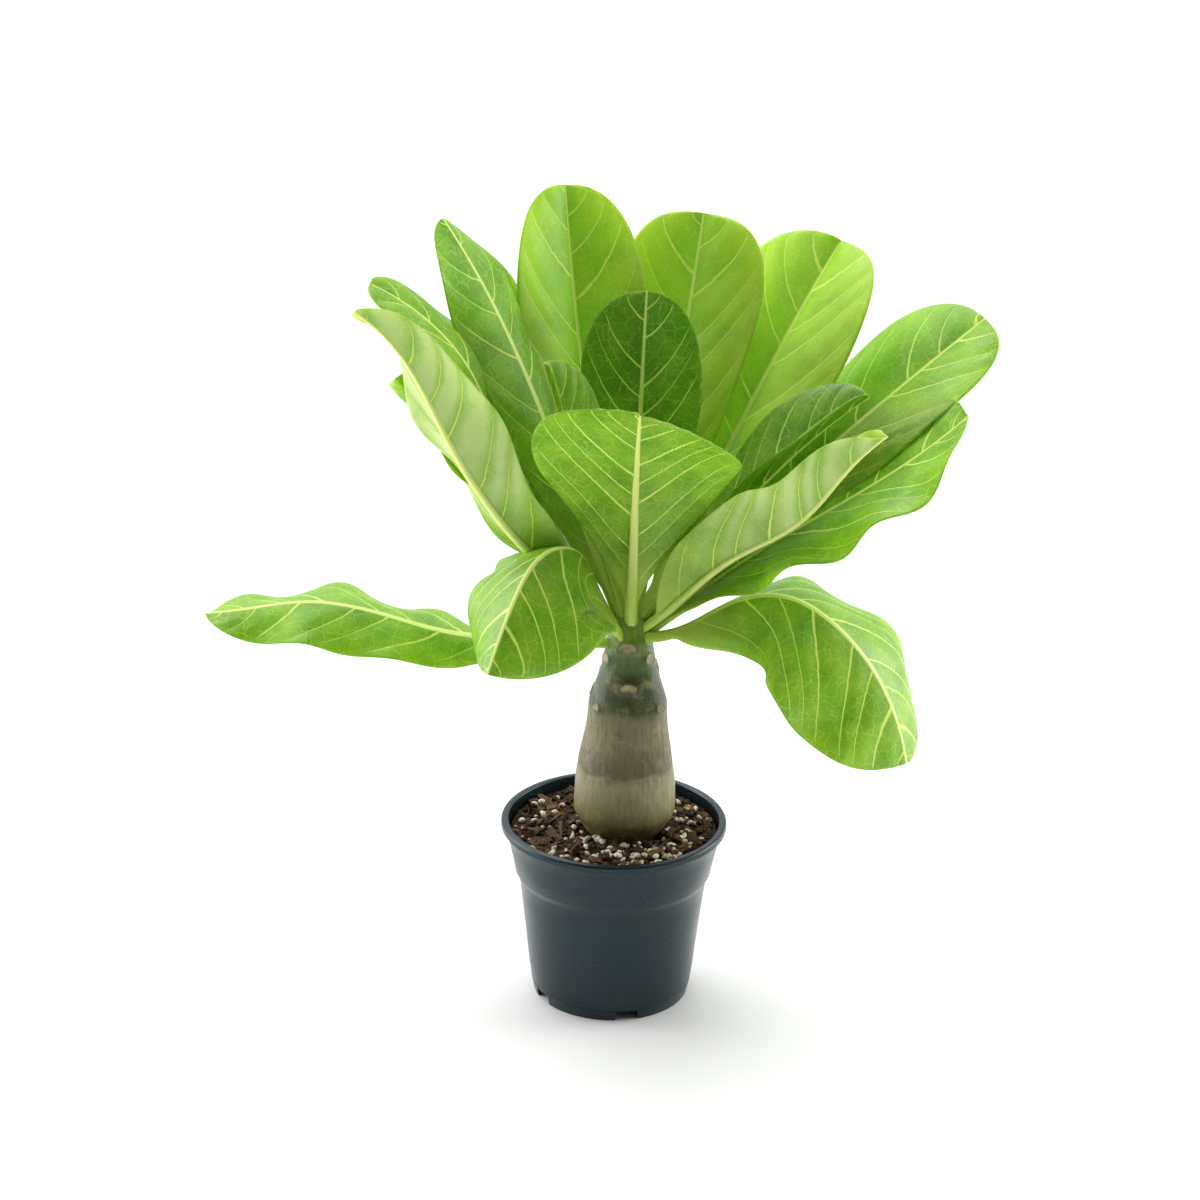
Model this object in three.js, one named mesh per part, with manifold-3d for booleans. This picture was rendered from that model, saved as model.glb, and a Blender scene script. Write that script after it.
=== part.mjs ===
// A potted Hawaiian palm: a swollen bare stem with a rosette of spoon-shaped leaves, in a nursery pot.
// Millimetres, +Z up. The origin is the centre of the pot's underside.
import * as THREE from 'three';
import { mergeVertices } from 'three/addons/utils/BufferGeometryUtils.js';
import Module from 'manifold-3d';

const wasm = await Module();
wasm.setup();

// ---- driving dimensions ----

const GAP = 0.3;               // left between pieces that touch
const ROUND_STEPS = 40;        // facets around the pot, the soil and the stem

const POT = {
  height: 108,
  lipRadius: 65,               // outer edge of the rolled lip
  lipHeight: 4.5,
  bandTopRadius: 62,           // the plain band below the lip
  bandBottomRadius: 56.8,
  bandBottom: 77,
  stepBottom: 73.5,            // where the step under the band meets the lower wall
  wallTopRadius: 54.4,
  footRadius: 45,
  wall: 1.4,
  channelHeight: 6,            // the raised ring of floor that the drain holes are in
  channelOuter: 41,
  channelInner: 28,
  discRadius: 24,              // the middle of the floor, which stands on the ground
  drainCount: 5,
  drainRadius: 4.5,
  drainFirstAngle: -78,
  notchWidth: 13,
};

const SOIL = {
  top: 101,                    // level at the pot's wall
  mound: 2,                    // how much higher it is against the stem
};

// The stem's outline above and below the soil: [height, radius], from the root tip up.
const STEM_OUTLINE = [
  [58, 6],
  [72, 12],
  [88, 18],
  [101, 22.2],
  [107, 25.4],
  [113, 29],
  [120, 29.3],
  [134, 28.6],
  [144, 27.2],
  [154, 25.6],
  [166, 23.6],
  [178, 22.3],
  [180, 22.6],
  [184, 21.4],
  [194, 18.4],
  [204, 15.4],
  [214, 13.8],
  [222, 12.8],
  [230, 10.4],
  [234, 6.5],
];
const STEM_FOOT = { x: 5.4, y: 3, z: 101 };
const CROWN = { x: 7.3, y: 0, z: 234 };

const LEAF = {
  stalkPart: 0.08,             // share of the length that is bare stalk
  stalkHalfWidth: 4,
  stalkThickness: 3.4,
  bladeThickness: 1.2,
  edgeThickness: 0.8,
  tipHalfWidth: 1.5,
  stepsAlong: 12,
  stepsAcross: 6,
};

const COLOURS = {
  pot: 0x30393c,
  soil: 0x3a2418,
  stem: 0x8f8c78,
  leaf: 0x6aa321,
  leafPale: 0x8fb56a,
};

// ---- the leaves ----
//
// at: where the stalk leaves the crown: [angle around the stem, height, distance from its middle].
// heading and rise: the way the midrib points, in degrees around +Z and above level, read at even
// steps from the stalk to the tip. roll turns the blade about its midrib. foldLeft and foldRight
// lift each half of the blade above level, again from the stalk to the tip; below level is minus.
// shape: how soon the blade widens and how blunt its tip is.

const LEAVES = [
  { name: 'leaf_back', at: [110, 230, 7], length: 250, width: 84,
    heading: [116, 113, 107, 103], rise: [58, 60, 65, 68], foldLeft: [36, 26], foldRight: [25, 12] },
  { name: 'leaf_back_right', at: [72, 230, 7], length: 236, width: 86, shape: [1.1, 0.35],
    heading: [72], rise: [56, 59, 63, 66], foldLeft: [20, 12], foldRight: [14, 4] },
  { name: 'leaf_right_high', at: [42, 230, 7], length: 248, width: 102, shape: [0.95, 0.4],
    heading: [45], rise: [50, 52, 51, 45], foldLeft: [24, 16], foldRight: [12, 4] },
  { name: 'leaf_right_upper', at: [15, 227, 8], length: 258, width: 92, shape: [1.0, 0.38],
    heading: [18], rise: [43, 42, 38, 36], foldLeft: [12, 2], foldRight: [12, 0], roll: [12] },
  { name: 'leaf_right_broad', at: [350, 223, 9], length: 220, width: 110, shape: [1.0, 0.45],
    heading: [0, -3, -6], rise: [41, 39, 34, 37, 46], foldLeft: [12, 8], foldRight: [4, 0], roll: [10] },
  { name: 'leaf_right_cupped', at: [325, 225, 8], length: 205, width: 62, shape: [0.7, 0.8],
    heading: [330], rise: [45, 46, 34, 55, 42], foldLeft: [45], foldRight: [68] },
  { name: 'leaf_right_narrow', at: [5, 231, 6], length: 180, width: 62,
    heading: [6], rise: [54, 50, 45, 34], foldLeft: [32], foldRight: [35] },
  { name: 'leaf_front', at: [270, 229, 7], length: 174, width: 113, shape: [1.2, 0.4],
    heading: [271], rise: [80, 70, 56, 42], foldLeft: [25, 5, -8], foldRight: [25, 5, -2], roll: [0, -4, -8] },
  { name: 'leaf_heart', at: [90, 233, 4], length: 182, width: 69,
    heading: [82], rise: [80, 80, 78, 76], foldLeft: [10, 5], foldRight: [10, 5] },
  { name: 'leaf_left_high', at: [142, 230, 7], length: 246, width: 62, shape: [0.8, 0.45],
    heading: [148, 158], rise: [60, 66, 62, 52], foldLeft: [-12], foldRight: [-12], roll: [-8] },
  { name: 'leaf_young', at: [185, 232, 5], length: 156, width: 50,
    heading: [179], rise: [73], foldLeft: [30], foldRight: [35], roll: [-20] },
  { name: 'leaf_left_back', at: [172, 226, 8], length: 244, width: 64, shape: [0.8, 0.5],
    heading: [175], rise: [54, 55, 61, 69, 46, 22], foldLeft: [-6], foldRight: [8] },
  { name: 'leaf_left_pale', at: [208, 227, 8], length: 252, width: 62, shape: [1.1, 0.8],
    heading: [200], rise: [42, 46, 58, 64, 38], foldLeft: [42], foldRight: [16], roll: [22] },
  { name: 'leaf_left_low', at: [175, 224, 9], length: 188, width: 66,
    heading: [166], rise: [44, 46, 50], foldLeft: [20], foldRight: [20] },
  { name: 'leaf_left_level', at: [190, 218, 10], length: 232, width: 60, shape: [1, 0.55],
    heading: [180], rise: [1, 1, 5, 17, 9, -10, -6], foldLeft: [-35], foldRight: [-8] },
  { name: 'leaf_left_bent', at: [238, 223, 9], length: 168, width: 116, shape: [0.7, 0.5],
    heading: [216, 218, 228, 234], rise: [58, 65, 60, 2, -48, -58, -62], foldLeft: [-40], foldRight: [-28] },
  { name: 'leaf_right_bent', at: [325, 224, 10], length: 211, width: 114, shape: [0.75, 0.42],
    heading: [345], rise: [6, 38, 16, -28, -49, -66, -80], foldLeft: [-25, -10, 5], foldRight: [-50] },
];
const PALE_LEAVES = ['leaf_front', 'leaf_right_cupped', 'leaf_left_pale'];

// ---- helpers ----

function radians(degrees) {
  return degrees * Math.PI / 180;
}

function material(name, colour, roughness) {
  return new THREE.MeshStandardMaterial({ name, color: colour, roughness, metalness: 0, side: THREE.DoubleSide });
}

function toManifold(geometry) {
  const bare = geometry.clone();
  bare.deleteAttribute('normal');
  bare.deleteAttribute('uv');
  const merged = mergeVertices(bare);
  return new wasm.Manifold(new wasm.Mesh({
    numProp: 3,
    vertProperties: new Float32Array(merged.attributes.position.array),
    triVerts: new Uint32Array(merged.index.array),
  }));
}

function toGeometry(manifold) {
  const mesh = manifold.getMesh();
  const geometry = new THREE.BufferGeometry();
  geometry.setAttribute('position', new THREE.BufferAttribute(new Float32Array(mesh.vertProperties), 3));
  geometry.setIndex(new THREE.BufferAttribute(new Uint32Array(mesh.triVerts), 1));
  geometry.computeVertexNormals();
  return geometry;
}

function largestPiece(manifold) {
  const pieces = manifold.decompose();
  return pieces.reduce((best, piece) => (piece.volume() > best.volume() ? piece : best));
}

// A solid turned about +Z from [radius, height] points, listed from the bottom of the axis outward.
function turned(points) {
  const profile = points.map(([radius, height]) => new THREE.Vector2(radius, height));
  const geometry = new THREE.LatheGeometry(profile, ROUND_STEPS);
  geometry.rotateX(Math.PI / 2);
  return geometry;
}

// A smooth curve through values at even steps, read at a share of the way from the first to the last.
function along(values, share) {
  if (values.length === 1) {
    return values[0];
  }
  const place = Math.min(Math.max(share, 0), 1) * (values.length - 1);
  const first = Math.min(Math.floor(place), values.length - 2);
  const between = place - first;
  const start = values[first];
  const end = values[first + 1];
  const before = first > 0 ? values[first - 1] : 2 * start - end;
  const after = first + 2 < values.length ? values[first + 2] : 2 * end - start;
  const slope = end - before;
  const bend = 2 * before - 5 * start + 4 * end - after;
  const twist = 3 * start - before - 3 * end + after;
  return start + 0.5 * between * (slope + between * (bend + between * twist));
}

// ---- pot ----

function potSolid() {
  const p = POT;
  const lipInner = p.bandTopRadius - p.wall;
  const channelTop = p.channelHeight + p.wall;
  const body = toManifold(turned([
    [0, 0],
    [p.discRadius, 0],
    [p.channelInner, p.channelHeight],
    [p.channelOuter, p.channelHeight],
    [p.footRadius - p.wall, 0],
    [p.footRadius, 0],
    [p.wallTopRadius, p.stepBottom],
    [p.bandBottomRadius, p.bandBottom],
    [p.bandTopRadius, p.height - p.lipHeight],
    [p.lipRadius - 0.6, p.height - p.lipHeight],
    [p.lipRadius, p.height - p.lipHeight + 0.8],
    [p.lipRadius, p.height - 1.4],
    [p.lipRadius - 1.2, p.height],
    [lipInner + 0.8, p.height],
    [lipInner, p.height - 1],
    [p.bandBottomRadius - p.wall, p.bandBottom],
    [p.wallTopRadius - p.wall, p.stepBottom],
    [p.footRadius - p.wall + 0.6, channelTop],
    [p.channelInner - 1, channelTop],
    [p.discRadius - 1, p.wall],
    [0, p.wall],
  ]));
  const cutters = [];
  const drainDistance = (p.channelInner + p.channelOuter) / 2;
  for (let i = 0; i < p.drainCount; i += 1) {
    const angle = radians(p.drainFirstAngle + i * 360 / p.drainCount);
    const hole = new THREE.CylinderGeometry(p.drainRadius, p.drainRadius, 20, 16);
    hole.rotateX(Math.PI / 2);
    hole.translate(drainDistance * Math.cos(angle), drainDistance * Math.sin(angle), p.channelHeight);
    cutters.push(toManifold(hole));
    const notch = new THREE.BoxGeometry(8, p.notchWidth, p.channelHeight * 2);
    notch.translate(p.footRadius, 0, 0);
    notch.rotateZ(angle);
    cutters.push(toManifold(notch));
  }
  return body.subtract(wasm.Manifold.union(cutters));
}

// ---- stem ----

// spare: how much bigger than the real stem, to cut a clear space for it.
function stemSolid(spare) {
  const points = [[0, STEM_OUTLINE[0][0] - 3 - spare]];
  for (const [height, radius] of STEM_OUTLINE) {
    points.push([radius + spare, height]);
  }
  points.push([0, CROWN.z + 1.5 + spare]);
  const geometry = turned(points);
  const place = geometry.attributes.position;
  for (let i = 0; i < place.count; i += 1) {
    const share = (place.getZ(i) - STEM_FOOT.z) / (CROWN.z - STEM_FOOT.z);
    const up = Math.max(share, 0);
    place.setX(i, place.getX(i) + STEM_FOOT.x + (CROWN.x - STEM_FOOT.x) * up);
    place.setY(i, place.getY(i) + STEM_FOOT.y + (CROWN.y - STEM_FOOT.y) * up);
  }
  return toManifold(geometry);
}

// ---- soil ----

function soilSolid() {
  const p = POT;
  const channelTop = p.channelHeight + p.wall + GAP;
  const inside = p.wall + GAP;
  const bandShare = (SOIL.top - p.bandBottom) / (p.height - p.bandBottom);
  const topRadius = p.bandBottomRadius + (p.bandTopRadius - p.bandBottomRadius) * bandShare;
  const body = toManifold(turned([
    [0, p.wall + GAP],
    [p.discRadius - 1 - GAP, p.wall + GAP],
    [p.channelInner - 1 - GAP, channelTop],
    [p.footRadius - inside, channelTop],
    [p.wallTopRadius - inside, p.stepBottom],
    [p.bandBottomRadius - inside, p.bandBottom + 0.6],
    [topRadius - inside, SOIL.top - 1],
    [topRadius - inside - 2, SOIL.top],
    [36, SOIL.top + SOIL.mound * 0.6],
    [0, SOIL.top + SOIL.mound],
  ]));
  return largestPiece(body.subtract(stemSolid(GAP)));
}

// ---- leaf ----

// Half the blade's width at a share of the leaf's length: a bare stalk, then a blunt spoon.
function halfWidth(leaf, share) {
  const [widen, blunt] = leaf.shape ?? [1.1, 0.45];
  const blade = Math.max((share - LEAF.stalkPart) / (1 - LEAF.stalkPart), 0);
  const widest = widen / (widen + blunt);
  const peak = widest ** widen * (1 - widest) ** blunt;
  const spoon = leaf.width / 2 * blade ** widen * (1 - blade) ** blunt / peak;
  const stalk = LEAF.stalkHalfWidth * Math.sqrt(1 - share);
  return Math.hypot(spoon, stalk, LEAF.tipHalfWidth * share);
}

// spare: how much bigger than the real leaf, to cut a clear space for it.
function leafSolid(leaf, spare) {
  const rows = LEAF.stepsAlong;
  const columns = LEAF.stepsAcross;
  const step = (leaf.length + spare) / 200;
  const angle = radians(leaf.at[0]);
  const middle = new THREE.Vector3(
    CROWN.x + leaf.at[2] * Math.cos(angle),
    CROWN.y + leaf.at[2] * Math.sin(angle),
    leaf.at[1],
  );
  const upper = [];
  const lower = [];
  let walked = 0;
  for (let row = 0; row <= rows; row += 1) {
    const share = Math.sin(row / rows * Math.PI / 2) ** 1.15;
    while (walked < Math.round(share * 200)) {
      middle.addScaledVector(midribFrame(leaf, (walked + 0.5) / 200).ahead, step);
      walked += 1;
    }
    const frame = midribFrame(leaf, share);
    const reach = halfWidth(leaf, share) + spare;
    for (let column = 0; column <= columns; column += 1) {
      const across = 2 * column / columns - 1;
      const values = across < 0 ? leaf.foldRight : leaf.foldLeft;
      const lift = radians(along(values, share)) * Math.sign(across);
      const outward = frame.left.clone().multiplyScalar(Math.cos(lift)).addScaledVector(frame.up, Math.sin(lift));
      const normal = frame.up.clone().multiplyScalar(Math.cos(lift)).addScaledVector(frame.left, -Math.sin(lift));
      const stalk = (LEAF.stalkThickness - LEAF.bladeThickness) * (1 - share) ** 5;
      const flesh = LEAF.bladeThickness + stalk;
      const thickness = flesh + (LEAF.edgeThickness - flesh) * Math.abs(across) + 2 * spare;
      const point = middle.clone().addScaledVector(outward, across * reach);
      upper.push(point.clone().addScaledVector(normal, thickness / 2));
      lower.push(point.clone().addScaledVector(normal, -thickness / 2));
    }
  }
  return toManifold(closedSheet(upper, lower, rows, columns));
}

// The way the midrib runs, the blade's left and its upper side, at a share of the leaf's length.
function midribFrame(leaf, share) {
  const heading = radians(along(leaf.heading, share));
  const rise = radians(along(leaf.rise, share));
  const roll = radians(along(leaf.roll ?? [0], share));
  const ahead = new THREE.Vector3(
    Math.cos(rise) * Math.cos(heading),
    Math.cos(rise) * Math.sin(heading),
    Math.sin(rise),
  );
  const left = new THREE.Vector3(-Math.sin(heading), Math.cos(heading), 0).applyAxisAngle(ahead, roll);
  const up = new THREE.Vector3().crossVectors(ahead, left);
  return { ahead, left, up };
}

// One closed solid between an upper and a lower grid of points.
function closedSheet(upper, lower, rows, columns) {
  const points = [...upper, ...lower];
  const wide = columns + 1;
  const under = upper.length;
  const faces = [];
  const quad = (a, b, c, d) => faces.push(a, b, c, a, c, d);
  for (let row = 0; row < rows; row += 1) {
    for (let column = 0; column < columns; column += 1) {
      const a = row * wide + column;
      quad(a, a + wide, a + wide + 1, a + 1);
      quad(a + under, a + 1 + under, a + wide + 1 + under, a + wide + under);
    }
    const first = row * wide;
    const last = first + columns;
    quad(first, first + under, first + wide + under, first + wide);
    quad(last, last + wide, last + wide + under, last + under);
  }
  const end = rows * wide;
  for (let column = 0; column < columns; column += 1) {
    quad(column, column + 1, column + 1 + under, column + under);
    quad(end + column, end + column + under, end + column + 1 + under, end + column + 1);
  }
  const geometry = new THREE.BufferGeometry().setFromPoints(points);
  geometry.setIndex(faces);
  return geometry;
}

// ---- assembly ----

const plant = new THREE.Group();

function add(name, solid, finish) {
  const mesh = new THREE.Mesh(toGeometry(solid), finish);
  mesh.name = name;
  plant.add(mesh);
}

add('pot', potSolid(), material('matte_plastic_pot', COLOURS.pot, 0.45));
add('soil', soilSolid(), material('potting_soil', COLOURS.soil, 0.95));
add('stem', stemSolid(0), material('stem_bark', COLOURS.stem, 0.7));

// Each leaf is cut back where its stalk would run into the stem or into a leaf made before it.
const clearSpaces = [stemSolid(GAP)];
for (const leaf of LEAVES) {
  const solid = largestPiece(leafSolid(leaf, 0).subtract(wasm.Manifold.union(clearSpaces)));
  const colour = PALE_LEAVES.includes(leaf.name) ? COLOURS.leafPale : COLOURS.leaf;
  add(leaf.name, solid, material(`${leaf.name}_blade`, colour, 0.5));
  clearSpaces.push(leafSolid(leaf, GAP));
}

export default plant;
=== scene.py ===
"""A potted Hawaiian palm: the looks of the pot, the soil, the swollen stem and the leaves."""
import math
import random

import bpy
import numpy as np
from mathutils import Matrix, Vector, noise


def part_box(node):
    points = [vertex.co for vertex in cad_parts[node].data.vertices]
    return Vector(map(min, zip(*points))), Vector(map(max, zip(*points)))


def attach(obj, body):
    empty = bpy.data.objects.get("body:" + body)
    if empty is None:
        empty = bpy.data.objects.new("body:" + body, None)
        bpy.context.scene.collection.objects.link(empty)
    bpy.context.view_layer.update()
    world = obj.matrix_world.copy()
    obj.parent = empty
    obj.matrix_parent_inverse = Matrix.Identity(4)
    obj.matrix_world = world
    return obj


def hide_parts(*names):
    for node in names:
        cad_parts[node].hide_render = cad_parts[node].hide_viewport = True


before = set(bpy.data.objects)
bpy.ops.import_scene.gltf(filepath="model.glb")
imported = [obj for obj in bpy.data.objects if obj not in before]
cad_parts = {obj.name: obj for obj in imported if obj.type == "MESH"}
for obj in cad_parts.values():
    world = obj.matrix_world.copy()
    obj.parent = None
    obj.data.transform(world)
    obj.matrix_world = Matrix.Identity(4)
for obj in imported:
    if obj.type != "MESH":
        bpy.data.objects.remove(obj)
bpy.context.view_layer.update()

MM = 0.001
POT_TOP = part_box("pot")[1][2] / MM
POT_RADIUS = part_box("pot")[1][0] / MM

# ---- sizes, in millimetres ----

POT = {
    "lip_height": 4.5,
    "band_top": 62.0,
    "band_bottom": 56.8,
    "band_bottom_height": 77.0,
    "step_height": 73.5,
    "wall_top": 54.4,
    "foot": 45.0,
    "wall": 1.4,
    "channel_height": 6.0,
    "channel_outer": 41.0,
    "channel_inner": 28.0,
    "disc": 24.0,
    "drains": 5,
    "drain_radius": 4.5,
    "first_drain": -78.0,
    "notch_width": 13.0,
}
POT_STEPS = 160

SOIL_TOP = 101.0
SOIL_RADIUS = 59.0
SOIL_STEPS = 150
CRUMB_RADIUS = 57.0
CLEAR_OF_STEM = 24.5
STEM_FOOT = (5.4, 3.0, 101.0)
CROWN = (7.3, 0.0, 234.0)

# The stem's outline: [height, radius].
STEM_OUTLINE = [
    (58, 6), (72, 12), (88, 18), (101, 22.2), (107, 25.4), (113, 29), (120, 29.3), (134, 28.6), (144, 27.2),
    (154, 25.6), (166, 23.6), (178, 22.3), (180, 22.6), (184, 21.4), (194, 18.4), (204, 15.4), (214, 13.8),
    (222, 12.8), (230, 10.4), (234, 6.5),
]
STEM_STEPS = 176

# Where leaves have fallen off the stem: angle around it, height, half width and half height.
LEAF_SCARS = [
    (-97, 219, 5.4, 3.0), (-154, 210, 3.6, 2.8), (-38, 211, 3.6, 2.8), (-90, 196, 5.4, 2.5),
    (-146, 182, 3.2, 2.0), (-34, 182, 3.4, 2.0), (-104, 168, 2.2, 1.2), (20, 203, 4.6, 2.8),
    (80, 214, 4.6, 2.8), (140, 199, 4.8, 2.8), (62, 184, 4.2, 2.2), (170, 187, 3.8, 2.2),
]

# ---- the leaves: stalk end, midrib, folds and looks ----
#
# at: [angle around the crown, height, distance from its middle]. heading and rise: the way the midrib
# points at even steps from stalk to tip, in degrees. roll turns the blade about its midrib. left and
# right: how far each half lifts above level. shape: how slowly the blade widens from its stalk, and how
# slowly it narrows to its tip (a small second number is a blunt tip). wave: the margin's ripple, as
# height, count and phase. The tone number: -1 darker, 1 yellower; partly each leaf's own green and partly
# painted light, high on the back leaves for light shining through them and low on leaf_heart for painted
# shade. The sheen number: how much whitish sheen is painted as a pale wax colour on the puffs between the
# veins.

STALK_PART = 0.08
STALK_HALF_WIDTH = 4.2
TIP_HALF_WIDTH = 1.5
SHOULDER = 26.0

LEAVES = [
    # The three back leaves below get a high tone: painted light, standing in for light shining through them
    # from behind.
    {"name": "leaf_back", "at": (110, 230, 7), "length": 250, "width": 84,
     "heading": (116, 113, 107, 103), "rise": (58, 60, 65, 68), "left": (36, 26), "right": (25, 12),
     "wave": (2, 2.5, 0.1), "tone_and_painted_light": 0.6},
    {"name": "leaf_back_right", "at": (72, 230, 7), "length": 236, "width": 86, "shape": (1.1, 0.35),
     "heading": (72,), "rise": (56, 59, 63, 66), "left": (20, 12), "right": (14, 4),
     "wave": (2, 2, 0.6), "tone_and_painted_light": 0.9},
    {"name": "leaf_right_high", "at": (42, 230, 7), "length": 248, "width": 102, "shape": (0.95, 0.4),
     "heading": (45,), "rise": (50, 52, 51, 45), "left": (24, 16), "right": (12, 4),
     "wave": (3, 2, 0.2), "tone_and_painted_light": 0.8},
    {"name": "leaf_right_upper", "at": (15, 227, 8), "length": 258, "width": 92, "shape": (1.0, 0.38),
     "heading": (18,), "rise": (43, 42, 38, 36), "left": (12, 2), "right": (12, 0), "roll": (12,),
     "wave": (3, 2, 0.4), "tone_and_painted_light": -0.1},
    {"name": "leaf_right_broad", "at": (350, 223, 9), "length": 220, "width": 110, "shape": (1.0, 0.45),
     "heading": (0, -3, -6), "rise": (41, 39, 34, 37, 46), "left": (12, 8), "right": (4, 0), "roll": (10,),
     "wave": (5, 4, 0.1), "tone_and_painted_light": -0.2},
    # This leaf carries painted sheen: a whitish sheen painted as pale wax colour on the puffs between its
    # veins.
    {"name": "leaf_right_cupped", "at": (325, 225, 8), "length": 205, "width": 62, "shape": (0.7, 0.8),
     "heading": (330,), "rise": (45, 46, 34, 55, 42), "left": (45,), "right": (68,), "wave": (3, 3, 0.3),
     "tone_and_painted_light": 0.0, "painted_sheen": 1.8},
    {"name": "leaf_right_narrow", "at": (5, 231, 6), "length": 180, "width": 62,
     "heading": (6,), "rise": (54, 50, 45, 34), "left": (32,), "right": (35,),
     "wave": (2, 2, 0.8), "tone_and_painted_light": -0.6},
    {"name": "leaf_front", "at": (270, 229, 7), "length": 174, "width": 113, "shape": (1.2, 0.4),
     "heading": (271,), "rise": (80, 70, 56, 42), "left": (25, 5, -8), "right": (25, 5, -2),
     "roll": (0, -4, -8),
     "wave": (2, 2, 0.0), "tone_and_painted_light": -0.3},
    # The low tone on this centre leaf is painted shade, for the shade it sits in under the leaves around it.
    {"name": "leaf_heart", "at": (90, 233, 4), "length": 182, "width": 69,
     "heading": (82,), "rise": (80, 80, 78, 76), "left": (10, 5), "right": (10, 5),
     "wave": (1, 2, 0.3), "tone_and_painted_light": -0.8},
    {"name": "leaf_left_high", "at": (142, 230, 7), "length": 246, "width": 62, "shape": (0.8, 0.45),
     "heading": (148, 158), "rise": (60, 66, 62, 52), "left": (-12,), "right": (-12,), "roll": (-8,),
     "wave": (3, 3, 0.5), "tone_and_painted_light": -0.3},
    {"name": "leaf_young", "at": (185, 232, 5), "length": 156, "width": 50,
     "heading": (179,), "rise": (73,), "left": (30,), "right": (35,), "roll": (-20,),
     "wave": (1, 2, 0.2), "tone_and_painted_light": -0.2},
    {"name": "leaf_left_back", "at": (172, 226, 8), "length": 244, "width": 64, "shape": (0.8, 0.5),
     "heading": (175,), "rise": (54, 55, 61, 69, 46, 22), "left": (-6,), "right": (8,),
     "wave": (3, 3, 0.9), "tone_and_painted_light": -0.3},
    # This leaf carries painted sheen: a whitish sheen painted as pale wax colour on the puffs between its
    # veins.
    {"name": "leaf_left_pale", "at": (208, 227, 8), "length": 252, "width": 62, "shape": (1.1, 0.8),
     "heading": (200,), "rise": (42, 46, 58, 64, 38), "left": (42,), "right": (16,), "roll": (22,),
     "wave": (4, 3, 0.4), "tone_and_painted_light": 0.0, "painted_sheen": 2.4},
    {"name": "leaf_left_low", "at": (175, 224, 9), "length": 188, "width": 66,
     "heading": (166,), "rise": (44, 46, 50), "left": (20,), "right": (20,),
     "wave": (3, 3, 0.7), "tone_and_painted_light": 0.3},
    {"name": "leaf_left_level", "at": (190, 218, 10), "length": 232, "width": 60, "shape": (1, 0.55),
     "heading": (180,), "rise": (1, 1, 5, 17, 9, -10, -6), "left": (-35,), "right": (-8,),
     "wave": (4, 4, 0.2), "tone_and_painted_light": -0.2},
    {"name": "leaf_left_bent", "at": (238, 223, 9), "length": 168, "width": 116, "shape": (0.7, 0.5),
     "heading": (216, 218, 228, 234), "rise": (58, 65, 60, 2, -48, -58, -62),
     "left": (-40,), "right": (-28,),
     "wave": (3, 3, 0.6), "tone_and_painted_light": -0.3},
    {"name": "leaf_right_bent", "at": (325, 224, 10), "length": 211, "width": 114, "shape": (0.75, 0.42),
     "heading": (345,), "rise": (6, 38, 16, -28, -49, -66, -80), "left": (-25, -10, 5), "right": (-50,),
     "wave": (4, 3, 0.1), "tone_and_painted_light": -0.2},
]
LEAF_ROWS = 130
LEAF_COLUMNS = 56
VEIN_PAIRS = 9
BLADE_HALF_THICKNESS = 0.42
STALK_FLESH = 2.1
RIB_AT_TIP = 0.5
RIB_GAIN_AT_FOOT = 2.3
SWING_HEIGHT = 1.6
QUILT_HEIGHT = 0.9
CORD_HEIGHT = 0.42
GROOVE_DEPTH = 0.12


# ---- small helpers ----

def linear(hex_colour):
    """An sRGB hex colour as the linear colour that shaders take."""
    parts = [int(hex_colour[i:i + 2], 16) / 255 for i in (1, 3, 5)]
    return [p / 12.92 if p <= 0.04045 else ((p + 0.055) / 1.055) ** 2.4 for p in parts] + [1.0]


def add(tree, kind, inputs=None, out=None, **settings):
    """Adds one node and gives back one output. inputs gives each socket a value or another node's output."""
    made = tree.nodes.new(kind)
    for key, value in settings.items():
        setattr(made, key, value)
    for key, value in (inputs or {}).items():
        if isinstance(value, bpy.types.NodeSocket):
            tree.links.new(value, made.inputs[key])
        else:
            made.inputs[key].default_value = value
    shown = [output for output in made.outputs if output.enabled]
    return made.outputs[out] if out else (shown[0] if shown else None)


def new_material(name):
    """An empty material and its tree, ready for a Principled shader."""
    material = bpy.data.materials.new(name)
    material.use_nodes = True
    material.node_tree.nodes.clear()
    return material, material.node_tree


def shade(tree, colour, roughness, normal=None, **fixed):
    """Ends a material: one Principled shader with its fixed values set on its own sockets."""
    inputs = {"Base Color": colour, "Roughness": roughness}
    if normal is not None:
        inputs["Normal"] = normal
    for key, value in fixed.items():
        inputs[key.replace("_", " ")] = value
    shader = add(tree, "ShaderNodeBsdfPrincipled", inputs)
    add(tree, "ShaderNodeOutputMaterial", {"Surface": shader})


def only(obj):
    """Selects one object and nothing else."""
    bpy.ops.object.select_all(action="DESELECT")
    obj.select_set(True)
    bpy.context.view_layer.objects.active = obj


def points_of(mesh):
    flat = np.empty(len(mesh.vertices) * 3)
    mesh.vertices.foreach_get("co", flat)
    return flat.reshape(-1, 3)


def move_points(mesh, points):
    mesh.vertices.foreach_set("co", np.ascontiguousarray(points, dtype=np.float32).ravel())
    mesh.update()


def store(mesh, name, values):
    """Keeps one number per point, for a material to read."""
    layer = mesh.attributes.new(name, "FLOAT", "POINT")
    layer.data.foreach_set("value", np.ascontiguousarray(values, dtype=np.float32))


def apply_modifier(obj, kind, **settings):
    only(obj)
    modifier = obj.modifiers.new(kind.lower(), kind)
    for key, value in settings.items():
        setattr(modifier, key, value)
    bpy.ops.object.modifier_apply(modifier=modifier.name)


def finish_piece(obj, name, materials):
    """Names a piece, gives it its materials and puts it in the place of its CAD node."""
    obj.name = name
    obj.data.name = name
    obj.data.materials.clear()
    for material in materials:
        obj.data.materials.append(material)
    only(obj)
    bpy.ops.object.transform_apply(location=True, rotation=True, scale=True)
    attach(obj, "root")


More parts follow.
